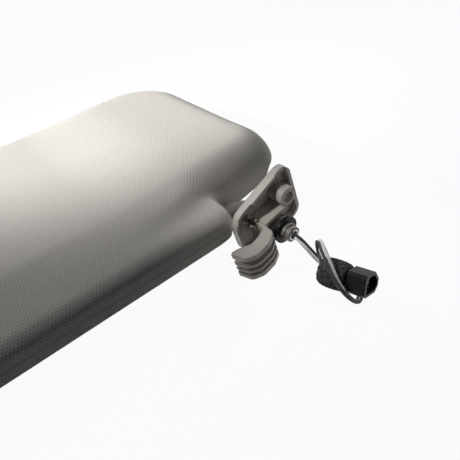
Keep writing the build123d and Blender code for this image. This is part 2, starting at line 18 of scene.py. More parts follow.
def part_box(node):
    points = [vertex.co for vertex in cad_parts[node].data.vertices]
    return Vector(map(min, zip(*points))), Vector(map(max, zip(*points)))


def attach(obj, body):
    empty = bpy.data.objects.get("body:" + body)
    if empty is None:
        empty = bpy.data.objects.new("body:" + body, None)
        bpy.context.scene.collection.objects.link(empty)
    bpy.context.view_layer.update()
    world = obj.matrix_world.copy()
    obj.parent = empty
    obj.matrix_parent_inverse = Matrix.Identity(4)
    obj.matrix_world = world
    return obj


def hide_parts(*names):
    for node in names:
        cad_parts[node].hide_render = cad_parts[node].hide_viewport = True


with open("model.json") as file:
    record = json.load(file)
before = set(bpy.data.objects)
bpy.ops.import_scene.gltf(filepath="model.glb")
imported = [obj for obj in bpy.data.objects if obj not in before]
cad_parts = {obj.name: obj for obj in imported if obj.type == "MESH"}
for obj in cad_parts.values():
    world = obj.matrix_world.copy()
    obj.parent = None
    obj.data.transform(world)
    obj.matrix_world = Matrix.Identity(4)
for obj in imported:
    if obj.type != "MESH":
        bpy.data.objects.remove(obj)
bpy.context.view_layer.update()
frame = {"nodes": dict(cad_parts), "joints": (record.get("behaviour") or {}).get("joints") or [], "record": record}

MM = 0.001
arm_z = -2.2
joint_spot = Vector(frame["joints"][0]["pos_m"])
pivot = joint_spot - Vector((0, 0, arm_z)) * MM
print("middle plane of the blade over the pivot point", [round(c, 4) for c in pivot])


def place(x, y, z):
    """A point in mm from the blade's middle plane at the pivot, as the frame has it in metres."""
    return pivot + Vector((x, y, z)) * MM


# %% [markdown]
# ## The camera
# A camera near the visor, a little above it, looks along the arm's elbow. A normal lens
# at a close distance gives the strong taper of the blade towards the far end.

# %% Camera
camera_data = bpy.data.cameras.new("camera")
camera_data.lens = 35.45
camera_data.sensor_width = 36.0
camera_data.clip_start = 0.01
camera = bpy.data.objects.new("camera", camera_data)
bpy.context.collection.objects.link(camera)
right = Vector((0.7557, -0.6485, -0.0903))
up = Vector((0.4809, 0.4561, 0.7489))
back = right.cross(up).normalized()
up = back.cross(right).normalized()
turn = Matrix((right, up, back)).transposed().to_4x4()
camera.matrix_world = Matrix.Translation((0.0409, -0.20235, 0.1606)) @ turn
bpy.context.scene.camera = camera
bpy.context.scene.view_settings.view_transform = "Standard"
print("camera looks from", [round(c, 3) for c in camera.matrix_world.translation])


# %% [markdown]
# ## Helpers for materials
# Each finish is a small node tree. The helpers keep the trees short to read: one makes
# a material with its Principled shader, one adds a node, and one sets a fine bump.

# %% Material helpers
def new_material(name, roughness, metallic=0.0):
    """A material and its shader node."""
    material = bpy.data.materials.new(name)
    material.use_nodes = True
    shader = material.node_tree.nodes["Principled BSDF"]
    shader.inputs["Roughness"].default_value = roughness
    shader.inputs["Metallic"].default_value = metallic
    return material, shader


def add_node(material, kind, **inputs):
    """A node with some of its sockets set by name."""
    node = material.node_tree.nodes.new(kind)
    for socket, value in inputs.items():
        node.inputs[socket.replace("_", " ")].default_value = value
    return node


def join(material, source, target):
    material.node_tree.links.new(source, target)


def math_node(material, operation, first, second=None):
    """A Math node fed by sockets or numbers."""
    node = material.node_tree.nodes.new("ShaderNodeMath")
    node.operation = operation
    for number, value in enumerate((first, second)):
        if value is None:
            continue
        if isinstance(value, (int, float)):
            node.inputs[number].default_value = value
        else:
            join(material, value, node.inputs[number])
    return node.outputs[0]


def object_noise(material, scale, detail=2.0):
    """Noise that sits still on the piece."""
    place_node = add_node(material, "ShaderNodeTexCoord")
    grain = add_node(material, "ShaderNodeTexNoise", Scale=scale, Detail=detail)
    join(material, place_node.outputs["Object"], grain.inputs["Vector"])
    return grain.outputs["Fac"]


def colour_between(material, factor, low, high, low_at=0.3, high_at=0.7):
    """A colour ramp between two colours."""
    ramp = material.node_tree.nodes.new("ShaderNodeValToRGB")
    ramp.color_ramp.elements[0].position = low_at
    ramp.color_ramp.elements[0].color = (*low, 1.0)
    ramp.color_ramp.elements[1].position = high_at
    ramp.color_ramp.elements[1].color = (*high, 1.0)
    join(material, factor, ramp.inputs["Fac"])
    return ramp.outputs["Color"]


def add_bump(material, shader, height, distance, strength=1.0):
    bump = add_node(material, "ShaderNodeBump", Strength=strength, Distance=distance)
    join(material, height, bump.inputs["Height"])
    join(material, bump.outputs["Normal"], shader.inputs["Normal"])


print("material helpers ready")


# %% [markdown]
# ## Moulded plastics
# Injection-moulded trim has a fine spark-eroded grain and a colour that drifts a little
# over the part. One recipe with different colours serves the bracket, the arm's cover,
# the vanity unit, the connector and the hidden core.

# %% Plastic finishes
def moulded_plastic(name, dark, light, roughness, grain_scale=900.0, grain_depth=0.00004):
    material, shader = new_material(name, roughness)
    drift = object_noise(material, 38.0, 3.0)
    join(material, colour_between(material, drift, dark, light), shader.inputs["Base Color"])
    grain = object_noise(material, grain_scale, 3.0)
    add_bump(material, shader, grain, grain_depth)
    wear = math_node(material, "MULTIPLY_ADD", drift, 0.14)
    material.node_tree.nodes[-1].inputs[2].default_value = roughness - 0.07
    join(material, wear, shader.inputs["Roughness"])
    return material


bracket_plastic = moulded_plastic("bracket plastic", (0.42, 0.395, 0.372), (0.52, 0.495, 0.47), 0.42)
arm_plastic = moulded_plastic("arm cover plastic", (0.15, 0.145, 0.14), (0.20, 0.19, 0.185), 0.36)
ring_plastic = moulded_plastic("black ring plastic", (0.006, 0.006, 0.006), (0.012, 0.012, 0.013), 0.36)
vanity_plastic = moulded_plastic("vanity plastic", (0.40, 0.385, 0.35), (0.46, 0.44, 0.405), 0.45, 1400.0)
core_plastic = moulded_plastic("core plastic", (0.015, 0.015, 0.015), (0.03, 0.03, 0.03), 0.6)
bush_plastic = moulded_plastic("bush plastic", (0.62, 0.61, 0.55), (0.70, 0.69, 0.63), 0.4)
peg_plastic = moulded_plastic("peg plastic", (0.33, 0.31, 0.28), (0.39, 0.37, 0.34), 0.38)
connector_plastic = moulded_plastic("connector plastic", (0.008, 0.008, 0.009), (0.016, 0.016, 0.017), 0.34)
lock_plastic = moulded_plastic("lock plastic", (0.30, 0.31, 0.32), (0.38, 0.39, 0.40), 0.4)
for dark_one in (ring_plastic, connector_plastic):
    dark_one.node_tree.nodes["Principled BSDF"].inputs["Specular IOR Level"].default_value = 0.15
print("plastics made")


# %% [markdown]
# ## Painted light at the bracket's edges
# The brown along the bracket's edges is painted light: it stands in for light that shines
# through the thin plastic there. A Bevel node rounds the normals near an edge, and where
# they differ from the surface's own, brown is mixed in. On this bracket the outer edges
# are already rounded, so it shows in inner corners, where it is painted shade.

# %% Painted light at the bracket's edges
def paint_edge_light(material, colour, reach, strength):
    """Mixes a colour in where the surface turns within some reach: painted light and shade at edges."""
    shader = material.node_tree.nodes["Principled BSDF"]
    plain = shader.inputs["Base Color"].links[0].from_socket
    rounded = add_node(material, "ShaderNodeBevel", Radius=reach)
    surface = material.node_tree.nodes.new("ShaderNodeNewGeometry")
    likeness = material.node_tree.nodes.new("ShaderNodeVectorMath")
    likeness.operation = "DOT_PRODUCT"
    join(material, rounded.outputs["Normal"], likeness.inputs[0])
    join(material, surface.outputs["Normal"], likeness.inputs[1])
    edge = material.node_tree.nodes.new("ShaderNodeMapRange")
    edge.inputs["From Min"].default_value = 0.985
    edge.inputs["From Max"].default_value = 0.90
    edge.inputs["To Max"].default_value = strength
    join(material, likeness.outputs["Value"], edge.inputs["Value"])
    blend = material.node_tree.nodes.new("ShaderNodeMix")
    blend.data_type = "RGBA"
    blend.inputs[7].default_value = (*colour, 1.0)
    join(material, edge.outputs["Result"], blend.inputs[0])
    join(material, plain, blend.inputs[6])
    join(material, blend.outputs[2], shader.inputs["Base Color"])


# painted light: the brown stands in for light through thin plastic edges, and in inner corners it is painted shade
paint_edge_light(bracket_plastic, (0.13, 0.075, 0.035), 0.0012, 0.9)
print("edges of the", bracket_plastic.name, "tinted")


# %% [markdown]
# ## Metals, glass and lamps
# The tube, sleeve and pins are plain steel with fine drawing lines. The contacts are
# brass. The lenses are frosted and the lamps are clear glass.

# %% Metal and glass finishes
def drawn_metal(name, colour, roughness):
    material, shader = new_material(name, roughness, 1.0)
    drift = object_noise(material, 160.0, 4.0)
    darker = tuple(c * 0.78 for c in colour)
    join(material, colour_between(material, drift, darker, colour), shader.inputs["Base Color"])
    add_bump(material, shader, object_noise(material, 2500.0, 2.0), 0.00001)
    return material


steel = drawn_metal("steel", (0.50, 0.50, 0.51), 0.30)
spring_steel = drawn_metal("spring steel", (0.34, 0.34, 0.35), 0.38)
brass = drawn_metal("brass", (0.70, 0.50, 0.20), 0.32)

mirror_finish, mirror_shader = new_material("mirror silvering", 0.03, 1.0)
mirror_drift = object_noise(mirror_finish, 20.0)
mirror_tone = colour_between(mirror_finish, mirror_drift, (0.80, 0.82, 0.82), (0.84, 0.86, 0.86))
join(mirror_finish, mirror_tone, mirror_shader.inputs["Base Color"])

lens_finish, lens_shader = new_material("frosted lens", 0.45)
lens_drift = object_noise(lens_finish, 60.0)
lens_tone = colour_between(lens_finish, lens_drift, (0.78, 0.78, 0.74), (0.86, 0.86, 0.83))
join(lens_finish, lens_tone, lens_shader.inputs["Base Color"])
lens_shader.inputs["Transmission Weight"].default_value = 0.6
lens_shader.inputs["IOR"].default_value = 1.49

lamp_glass, lamp_shader = new_material("lamp glass", 0.05)
lamp_tone = colour_between(lamp_glass, object_noise(lamp_glass, 60.0), (0.9, 0.9, 0.88), (0.95, 0.95, 0.93))
join(lamp_glass, lamp_tone, lamp_shader.inputs["Base Color"])
lamp_shader.inputs["Transmission Weight"].default_value = 0.85
lamp_shader.inputs["IOR"].default_value = 1.5
print("metals and glass made")

# %% [markdown]
# ## Finishes for the solids
# Every solid that stays keeps its shape and takes the finish of its own material slot.

# %% Give the solids their finishes
finish_of_slot = {
    "core_plastic": core_plastic,
    "steel": steel,
    "spring_steel": spring_steel,
    "cover_plastic": arm_plastic,
    "cover_plastic_black": ring_plastic,
    "bush_plastic": bush_plastic,
    "peg_plastic": peg_plastic,
    "vanity_plastic": vanity_plastic,
    "mirror_glass": mirror_finish,
    "lens": lens_finish,
    "lamp_glass": lamp_glass,
    "brass": brass,
    "bracket_plastic": bracket_plastic,
    "connector_plastic": connector_plastic,
    "lock_plastic": lock_plastic,
}
slot_of_node = {row["node"]: row["material_slot"] for row in frame["record"]["subparts"]}
for name, node in frame["nodes"].items():
    finish = finish_of_slot.get(slot_of_node.get(name))
    if finish is None:
        continue
    node.data.materials.clear()
    node.data.materials.append(finish)
print("solids with a finish:", len([n for n in slot_of_node.values() if n in finish_of_slot]))


# %% [markdown]
# ## The knitted cover
# The cover is a warp-knitted fabric with a pattern of staggered dimples, drawn tight
# over a thin foam on the moulded core. Its form is a slab with a notch at each end of
# the rod edge, where the arm and the peg come out. The slab is drawn as a polygon,
# raised, rounded, remeshed evenly and then shaped point by point: slimmer towards the
# free edge, softly nosed at the rod edge, and pinched in round the arm.

# %% The cover's sizes
blade_low, blade_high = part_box("fabric_lower")[0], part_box("fabric_upper")[1]
half_thick = (blade_high[2] - pivot.z) / MM
inboard_x = (blade_low[0] - pivot.x) / MM
outboard_x = (blade_high[0] - pivot.x) / MM
rod_y = (blade_low[1] - pivot.y) / MM
free_y = (blade_high[1] - pivot.y) / MM
collar_x = -16.0
peg_x = inboard_x + 34.0
edge_round = 7.2
nose_drop = 3.2
taper_from_y = 26.0
taper_rate = (24.0 - 17.5) / (free_y - taper_from_y)
crown_reach = 34.0
soft_round = 18.0
fill_from_z, fill_height = -11.0, 16.0
fill_from_y = 40.0
end_reach = (-64.0, -8.0)
end_side = (2.0, 14.0)
free_edge_fill = 3.0
end_fill = 5.8
end_push = 1.6
notch_push = 2.0
core_gap = 0.5
guard_low, end_search = 3.0, 4.0
collar_zone = (-24.0, -12.0, 9.0)
sleeve_x = -13.0
sleeve_r = 6.2
opening_r = 5.5
seam_z = 0.8
blade_long, blade_deep = outboard_x - inboard_x, free_y - rod_y
print("blade", round(blade_long, 1), "by", round(blade_deep, 1), "mm, half", round(half_thick, 1))


# %% Draw the outline with its fillets
def filleted(corners, steps=14):
    """The outline of a polygon of (x, y, radius) corners, each rounded by an arc."""
    outline = []
    for number, (x, y, radius) in enumerate(corners):
        corner = Vector((x, y))
        before = (Vector(corners[number - 1][:2]) - corner).normalized()
        after = (Vector(corners[(number + 1) % len(corners)][:2]) - corner).normalized()
        half_angle = before.angle(after) / 2
        centre = corner + (before + after).normalized() * radius / sin(half_angle)
        start = corner + before * radius / tan(half_angle) - centre
        finish = corner + after * radius / tan(half_angle) - centre
        sweep = start.angle_signed(finish)
        for step in range(steps + 1):
            outline.append(centre + Matrix.Rotation(-sweep * step / steps, 2) @ start)
    return outline


corners = [
    (collar_x, rod_y - 1.0, 8.6), (collar_x, 6.75, 4.0),
    (outboard_x, 17.5, 24.0), (outboard_x, free_y, 40.0),
    (inboard_x, free_y, 40.0), (inboard_x, 16.0, 12.0), (peg_x, 12.0, 4.0), (peg_x, rod_y - 1.0, 8.6),
]
outline = filleted(corners)
print("outline has", len(outline), "points")


# %% Raise it to a slab with rounded rims
def rounded_slab(outline, low, high, edge):
    """An outline in mm, raised, with its rims rounded."""
    bm = bmesh.new()
    face = bm.faces.new([bm.verts.new((*point, low)) for point in outline])
    raised = bmesh.ops.extrude_face_region(bm, geom=[face])
    tops = [v for v in raised["geom"] if isinstance(v, bmesh.types.BMVert)]
    bmesh.ops.translate(bm, verts=tops, vec=(0, 0, high - low))
    bmesh.ops.recalc_face_normals(bm, faces=bm.faces)
    rims = [e for e in bm.edges if abs(e.verts[0].co.z - e.verts[1].co.z) < 0.01]
    bmesh.ops.bevel(bm, geom=rims, offset=edge, segments=8, profile=0.5, affect="EDGES")
    mesh = bpy.data.meshes.new("slab")
    bm.to_mesh(mesh)
    bm.free()
    return mesh


slab_half = half_thick - 0.6
cover = bpy.data.objects.new("knitted_cover", rounded_slab(outline, -slab_half, slab_half, edge_round))
bpy.context.collection.objects.link(cover)
print("slab has", len(cover.data.polygons), "faces")


# %% Remesh it evenly
def only(obj):
    """Selects one object and makes it the active one."""
    bpy.ops.object.select_all(action="DESELECT")
    obj.select_set(True)
    bpy.context.view_layer.objects.active = obj


def remesh_evenly(obj, size, smoothing):
    """An even skin of small faces over a form, smoothed a little."""
    only(obj)
    even = obj.modifiers.new("even", "REMESH")
    even.mode = "VOXEL"
    even.voxel_size = size
    bpy.ops.object.modifier_apply(modifier=even.name)
    relax = obj.modifiers.new("relax", "SMOOTH")
    relax.factor = 0.5
    relax.iterations = smoothing
    bpy.ops.object.modifier_apply(modifier=relax.name)


remesh_evenly(cover, 2.6, 4)
print("cover has", len(cover.data.vertices), "points")


# %% Slim the rod edge and the free edge
def face_height(y, side):
    """How far a face of the blade lies from the middle plane, crowned between its two slopes."""
    falls = nose_drop / (taper_from_y - rod_y)
    rises = -taper_rate if side > 0 else 0.0
    reach = crown_reach
    t = y - taper_from_y
    if t < -reach:
        crown = falls * t
    elif t > reach:
        crown = rises * t
    else:
        crown = falls * t + (rises - falls) * (t + reach) ** 2 / (4 * reach)
    return half_thick + crown


def cover_point(x, y, z):
    """Where a point of the plain slab goes on the real cover."""
    side = 1 if z > 0 else -1
    z *= face_height(y, side) / half_thick
    return x, max(y, rod_y + 0.6), z


for vertex in cover.data.vertices:
    vertex.co = cover_point(*vertex.co)
print("rod edge and free edge slimmed")

# %% [markdown]
# ## The sleeve round the arm
# At the hinge end the fabric narrows like a cone to a sleeve that hugs the arm. The
# cone and the thin skin of the frame are joined to the slab and remeshed with it, so
# that one fabric runs over all of them. The arm's opening and the pocket of the vanity
# tub are bored last, to keep their edges crisp.

# %% Join the cone and bore the opening
bpy.ops.object.select_all(action="DESELECT")
bpy.ops.mesh.primitive_cone_add(
    vertices=64, radius1=9.2, radius2=sleeve_r, depth=14.0, location=(sleeve_x - 7.0, 0.0, arm_z),
    rotation=(0.0, radians(90), 0.0),
)
cone = bpy.context.object
cone.scale = (0.94, 1.0, 1.0)
bpy.ops.object.transform_apply(location=True, rotation=True, scale=True)
for vertex in cone.data.vertices:
    if vertex.co.x > sleeve_x - 1:
        vertex.co.x += 0.12 * (vertex.co.y - vertex.co.z)
skins = []
for name in ("fabric_upper", "fabric_lower"):
    node = frame["nodes"][name]
    skin = bpy.data.objects.new(name + "_form", node.data.copy())
    bpy.context.collection.objects.link(skin)
    skin.data.transform(node.matrix_world)
    skin.data.transform(Matrix.Scale(1 / MM, 4) @ Matrix.Translation(-pivot))
    skins.append(skin)
bpy.ops.object.select_all(action="DESELECT")
for piece in (cone, *skins):
    piece.select_set(True)
cover.select_set(True)
bpy.context.view_layer.objects.active = cover
bpy.ops.object.join()
remesh_evenly(cover, 1.8, 4)


def smooth_step(value, low, high):
    t = min(max((value - low) / (high - low), 0.0), 1.0)
    return t * t * (3 - 2 * t)


def creases(x, y, z):
    """Tucks the fabric at the root of the sleeve."""
    tuck = Vector((x + 19.5, y - 7.0, (z - 7.0) * 0.7)).length
    depth = 1.5 * (1 - smooth_step(tuck, 0.0, 5.5))
    under = Vector((x + 19.5, y - 7.0, (z + 9.0) * 0.7)).length
    lift = 1.2 * (1 - smooth_step(under, 0.0, 5.5))
    z += lift - depth
    x -= 0.5 * (lift + depth)
    return x, y, z


for vertex in cover.data.vertices:
    vertex.co = creases(*vertex.co)


def cut_away(obj, tool):
    """Cuts the form of a tool out of a piece and drops the tool."""
    only(obj)
    opening = obj.modifiers.new("opening", "BOOLEAN")
    opening.object = tool
    opening.solver = "EXACT"
    bpy.ops.object.modifier_apply(modifier=opening.name)
    bpy.data.objects.remove(tool, do_unlink=True)


bpy.ops.object.select_all(action="DESELECT")
bpy.ops.mesh.primitive_cylinder_add(
    vertices=64, radius=opening_r, depth=26.0, location=(sleeve_x + 5.0, 0.0, arm_z),
    rotation=(0.0, radians(90), 0.0),
)
cut_away(cover, bpy.context.object)
tub_low, tub_high = (Vector(corner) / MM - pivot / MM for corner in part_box("vanity_frame"))
tub_middle = (tub_low + tub_high) / 2
bpy.ops.object.select_all(action="DESELECT")
bpy.ops.mesh.primitive_cube_add(size=1.0, location=(tub_middle.x, tub_middle.y, tub_high.z - 12.0))
pocket = bpy.context.object
pocket.scale = (tub_high.x - tub_low.x - 11.0, tub_high.y - tub_low.y - 11.0, 25.0)
bpy.ops.object.transform_apply(location=True, rotation=True, scale=True)
cut_away(cover, pocket)
print("cover has", len(cover.data.vertices), "points")


# %% Lay the knit over the surface
def knit_place(co, normal):
    """Where a point lies on the flat fabric, in mm along the rows and across them."""
    x, y, z = co
    side = 1 if z >= 0 else -1
    if y < -3.1:
        round_at = atan2(abs(z) - 0.4, -3.1 - y)
        across = 0.4 + 8.4 * max(0.0, round_at)
        if abs(z) < 0.4:
            across = abs(z)
        return x, side * across
    across = 0.4 + 8.4 * pi / 2 + y + 3.1
    top = face_height(y, side)
    drop = min(max(top - side * z, 0.0), 30.0)
    if drop < edge_round:
        angle = acos(1 - drop / edge_round)
        extra = edge_round * (angle - sin(angle))
    else:
        extra = edge_round * (pi / 2 - 1) + drop - edge_round
    flat = Vector((normal.x, normal.y))
    if flat.length > 1e-4 and drop > 0.05:
        flat.normalize()
        return x + flat.x * extra, side * (across + flat.y * extra)
    return x, side * across


layer = cover.data.uv_layers.new(name="knit")
spots = [knit_place(v.co, v.normal) for v in cover.data.vertices]
for loop in cover.data.loops:
    layer.data[loop.index].uv = spots[loop.vertex_index]
print("knit laid over", len(spots), "points")

# %% [markdown]
# ## The soft outboard end
# The cover is padded, so it stands a few millimetres fuller than the plain frame of the
# blade, most of all at the end by the bracket, where its upper edge falls away in a wide
# curve. The points of the finished cover are moved for this. A ray from above finds the
# core under each point, and a point that lies too low is lifted. At the collar a ray
# along the arm does the same, but a corner of the core still stands out there.

# %% Round the outboard end
rim_points = []
for number, point in enumerate(outline):
    following = outline[(number + 1) % len(outline)]
    count = max(1, int((following - point).length))
    rim_points += [point.lerp(following, step / count) for step in range(count)]
rim_tree = kdtree.KDTree(len(rim_points))
for number, point in enumerate(rim_points):
    rim_tree.insert((*point, 0.0), number)
rim_tree.balance()


def arc_drop(radius, from_rim):
    """How far a rounded rim lies below its face, so far in from the rim."""
    if from_rim >= radius:
        return 0.0
    return radius - sqrt(radius ** 2 - (radius - from_rim) ** 2)


def rounder(x, y, z):
    """Stuffs the upper face fuller and widens its rounding at the outboard end."""
    upper = min(max((z - fill_from_z) / fill_height, 0.0), 1.0)
    z += upper * free_edge_fill * smooth_step(y, fill_from_y, free_y)
    here = smooth_step(x, *end_reach) * smooth_step(y, *end_side)
    from_rim = rim_tree.find((x, y, 0.0))[2]
    z += upper * here * end_fill
    if from_rim < soft_round:
        z -= upper * here * (arc_drop(soft_round, from_rim) - arc_drop(edge_round, from_rim))
    x_push = upper ** 2 * end_push * here * smooth_step(x, -24, -4)
    beside_arm = smooth_step(y, 6, 10) * (1 - smooth_step(y, 14, 32))
    notch = upper ** 2 * beside_arm * smooth_step(x, -24, -12)
    return x + x_push + notch_push * notch, y - smooth_step(y, 8, 12) * notch, z


core_mesh = bmesh.new()
for name in ("core_upper", "core_lower"):
    core_mesh.from_mesh(frame["nodes"][name].data)
core_tree = BVHTree.FromBMesh(core_mesh)
core_mesh.free()
lifted = 0
for vertex in cover.data.vertices:
    vertex.co = place(*rounder(*vertex.co))
    above = Vector((vertex.co.x, vertex.co.y, 1.0))
    top = core_tree.ray_cast(above, (0.0, 0.0, -1.0))[0]
    if vertex.co.z > pivot.z - guard_low * MM and top and top.z + core_gap * MM > vertex.co.z:
        vertex.co.z = top.z + core_gap * MM
        lifted += 1
    spot = (vertex.co - pivot) / MM
    if collar_zone[0] < spot.x < collar_zone[1] and abs(spot.y) < collar_zone[2]:
        beside = Vector((pivot.x - 5 * MM, vertex.co.y, vertex.co.z))
        end = core_tree.ray_cast(beside, (-1.0, 0.0, 0.0))[0]
        if end and end.x - end_search * MM < vertex.co.x < end.x + core_gap * MM:
            vertex.co.x = end.x + core_gap * MM
            lifted += 1
print("points moved out from the core:", lifted)
cover.data.polygons.foreach_set("use_smooth", [True] * len(cover.data.polygons))
cover.data.update()

# %% [markdown]
# ## The knit itself
# Two cosine waves multiplied give a lattice of staggered spots: one every 1.5 mm along
# the row and rows 1.13 mm apart. The spots sink, the yarn between them stands up, and
# a soft noise keeps the rows from looking printed.

# %% Knit finish
knit, knit_shader = new_material("knitted fabric", 0.9)
knit_shader.inputs["Specular IOR Level"].default_value = 0.05
uv = knit.node_tree.nodes.new("ShaderNodeUVMap")
uv.uv_map = "knit"
split = knit.node_tree.nodes.new("ShaderNodeSeparateXYZ")
join(knit, uv.outputs["UV"], split.inputs[0])
along = math_node(knit, "COSINE", math_node(knit, "MULTIPLY", split.outputs["X"], 2 * pi / 1.5))
across = math_node(knit, "COSINE", math_node(knit, "MULTIPLY", split.outputs["Y"], pi / 1.13))
lattice = math_node(knit, "MULTIPLY", along, across)
dimple = knit.node_tree.nodes.new("ShaderNodeMapRange")
dimple.interpolation_type = "SMOOTHSTEP"
dimple.inputs["From Min"].default_value = 0.15
dimple.inputs["From Max"].default_value = 0.95
join(knit, lattice, dimple.inputs["Value"])
fuzz = object_noise(knit, 700.0, 2.0)
tone = math_node(knit, "SUBTRACT", math_node(knit, "MULTIPLY_ADD", fuzz, 0.3), dimple.outputs["Result"])
knit.node_tree.nodes[-2].inputs[2].default_value = 0.85
spot = knit.node_tree.nodes.new("ShaderNodeTexCoord")
spot_parts = knit.node_tree.nodes.new("ShaderNodeSeparateXYZ")
join(knit, spot.outputs["Object"], spot_parts.inputs[0])
off_seam = math_node(knit, "SUBTRACT", spot_parts.outputs["Z"], pivot.z + seam_z * MM)
seam = knit.node_tree.nodes.new("ShaderNodeMapRange")
seam.interpolation_type = "SMOOTHSTEP"
seam.inputs["From Min"].default_value = 0.00055
seam.inputs["From Max"].default_value = 0.00015
join(knit, math_node(knit, "ABSOLUTE", off_seam), seam.inputs["Value"])
rod_side = math_node(knit, "LESS_THAN", spot_parts.outputs["Y"], pivot.y + (rod_y + 4.0) * MM)
seam_line = math_node(knit, "MULTIPLY", seam.outputs["Result"], rod_side)
seam_shade = math_node(knit, "MULTIPLY", seam_line, 0.75)
tone = math_node(knit, "SUBTRACT", tone, seam_shade)
cloth_colour = colour_between(knit, tone, (0.42, 0.41, 0.395), (0.68, 0.665, 0.64), 0.0, 1.0)
join(knit, cloth_colour, knit_shader.inputs["Base Color"])
height = math_node(knit, "SUBTRACT", math_node(knit, "MULTIPLY", fuzz, 0.25), dimple.outputs["Result"])
height = math_node(knit, "SUBTRACT", height, math_node(knit, "MULTIPLY", seam_line, 2.0))
add_bump(knit, knit_shader, height, 0.00012, 0.7)
knit_shader.inputs["Sheen Weight"].default_value = 0.12
knit_shader.inputs["Sheen Roughness"].default_value = 0.5
cover.data.materials.clear()
cover.data.materials.append(knit)
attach(cover, "blade")
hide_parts("fabric_upper", "fabric_lower")
print("cover dressed in", knit.name)


# %% [markdown]
# ## The lead
# Two thin wires leave the post's tube side by side, drop to the surface, run forward
# and come back in a narrow standing loop into the foam behind the connector. Each is a
# smooth spline whose control points are the corners of its route.

# %% Wires
lead_route = [
    ((0.0, -33.6, -2.2), (0.0, 0.0, 0.8)),
    ((0.2, -37.2, -3.0), (0.5, 0.0, 0.62)),
    ((1.2, -41.6, -6.8), (0.7, 0.0, 0.4)),
    ((2.8, -46.2, -11.6), (0.76, 0.0, 0.3)),
    ((5.0, -50.4, -15.4), (0.8, 0.1, 0.1)),
    ((8.0, -54.6, -16.75), (0.7, 0.4, 0.0)),
    ((9.4, -60.4, -16.75), (0.8, -0.05, 0.0)),
    ((7.8, -66.6, -16.75), (0.74, -0.3, 0.0)),
    ((3.4, -71.2, -16.75), (0.5, -0.62, 0.0)),
    ((-2.4, -73.8, -15.6), (0.0, -0.8, 0.0)),
    ((-6.0, -71.2, -11.0), (-0.6, -0.5, -0.2)),
    ((-7.7, -66.2, -5.0), (-0.75, -0.2, -0.2)),
    ((-5.8, -60.4, -0.4), (-0.72, 0.2, -0.28)),
    ((-3.4, -54.8, 2.6), (-0.72, 0.25, -0.26)),
    ((-0.2, -49.6, 3.2), (-0.72, 0.25, -0.26)),
    ((2.8, -45.8, 0.6), (-0.7, 0.38, -0.1)),
    ((4.0, -45.2, -4.4), (-0.66, 0.46, 0.0)),
    ((2.8, -47.6, -8.4), (-0.67, 0.42, 0.1)),
    ((0.4, -51.4, -10.2), (-0.56, 0.1, 0.56)),
    ((-0.6, -56.0, -10.2), (-0.4, 0.0, 0.69)),
]
wire_thick = 1.4


def insulation(name, dark, light):
    material, shader = new_material(name, 0.38)
    drift = object_noise(material, 300.0)
    join(material, colour_between(material, drift, dark, light), shader.inputs["Base Color"])
    add_bump(material, shader, object_noise(material, 1500.0), 0.00002)
    return material


def make_wire(name, node, side, finish):
    curve = bpy.data.curves.new(name, "CURVE")
    curve.dimensions = "3D"
    curve.bevel_depth = wire_thick / 2 * MM
    curve.bevel_resolution = 5
    curve.resolution_u = 10
    curve.use_fill_caps = True
    spline = curve.splines.new("NURBS")
    points = [Vector(p) + Vector(step) * side for p, step in lead_route]
    spline.points.add(len(points) - 1)
    for point, control in zip(points, spline.points):
        control.co = (*place(*point), 1.0)
    spline.order_u = 3
    spline.use_endpoint_u = True
    wire = bpy.data.objects.new(name, curve)
    bpy.context.collection.objects.link(wire)
    curve.materials.append(finish)
    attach(wire, "arm")
    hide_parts(node)
    return wire


black_rubber = insulation("black insulation", (0.006, 0.006, 0.007), (0.013, 0.013, 0.014))
white_rubber = insulation("white insulation", (0.84, 0.84, 0.84), (0.90, 0.90, 0.90))
print("route of the leads has", len(lead_route), "points")


# %% [markdown]
# ## The foam roll
# A strip of open-cell foam is wound round the connector's neck so that it can't rattle
# on the roof. Its cut surface is speckled and slightly uneven.

# %% Foam
foam_finish, foam_shader = new_material("open-cell foam", 0.95)
foam_shader.inputs["Specular IOR Level"].default_value = 0.1
cells = add_node(foam_finish, "ShaderNodeTexVoronoi", Scale=1300.0)
foam_place = add_node(foam_finish, "ShaderNodeTexCoord")
join(foam_finish, foam_place.outputs["Object"], cells.inputs["Vector"])
foam_noise = object_noise(foam_finish, 900.0, 3.0)
speckle = math_node(foam_finish, "MULTIPLY", cells.outputs["Distance"], foam_noise)
foam_colour = colour_between(foam_finish, speckle, (0.02, 0.02, 0.021), (0.16, 0.16, 0.165), 0.08, 0.42)
join(foam_finish, foam_colour, foam_shader.inputs["Base Color"])
add_bump(foam_finish, foam_shader, speckle, 0.0005)
foam_axis = Matrix.Rotation(radians(-80), 4, "Z") @ Matrix.Rotation(radians(80), 4, "Y")
foam_length, foam_r = 13.5, 6.9
bpy.ops.object.select_all(action="DESELECT")
bpy.ops.mesh.primitive_cylinder_add(vertices=48, radius=foam_r - 0.2, depth=foam_length - 0.2)
foam = bpy.context.object
foam.name = "foam_roll"
bpy.ops.object.mode_set(mode="EDIT")
bpy.ops.mesh.select_all(action="SELECT")
bpy.ops.mesh.subdivide(number_cuts=1)
bpy.ops.object.mode_set(mode="OBJECT")
remesh_evenly(foam, 0.5, 6)
for vertex in foam.data.vertices:
    x, y, z = vertex.co
    around = atan2(y, x)
    pits = noise.noise(Vector((x, y, z)) * 1.3) * 0.22
    lap = 0.45 * (1 - smooth_step(abs(around - 1.0), 0.0, 0.25))
    swell = (1 + (pits - lap) / foam_r) * (1.03 - 0.16 * abs(2 * z / foam_length) ** 3)
    vertex.co = (x * swell, y * swell, z + 0.3 * noise.noise(Vector((x, y, 4.0)) * 0.7))
foam.data.transform(foam_axis)
foam.data.transform(Matrix.Translation(place(-0.6, -59.4, -9.4)) @ Matrix.Scale(MM, 4))
foam.data.polygons.foreach_set("use_smooth", [True] * len(foam.data.polygons))
foam.data.materials.append(foam_finish)
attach(foam, "arm")
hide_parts("foam_wrap")

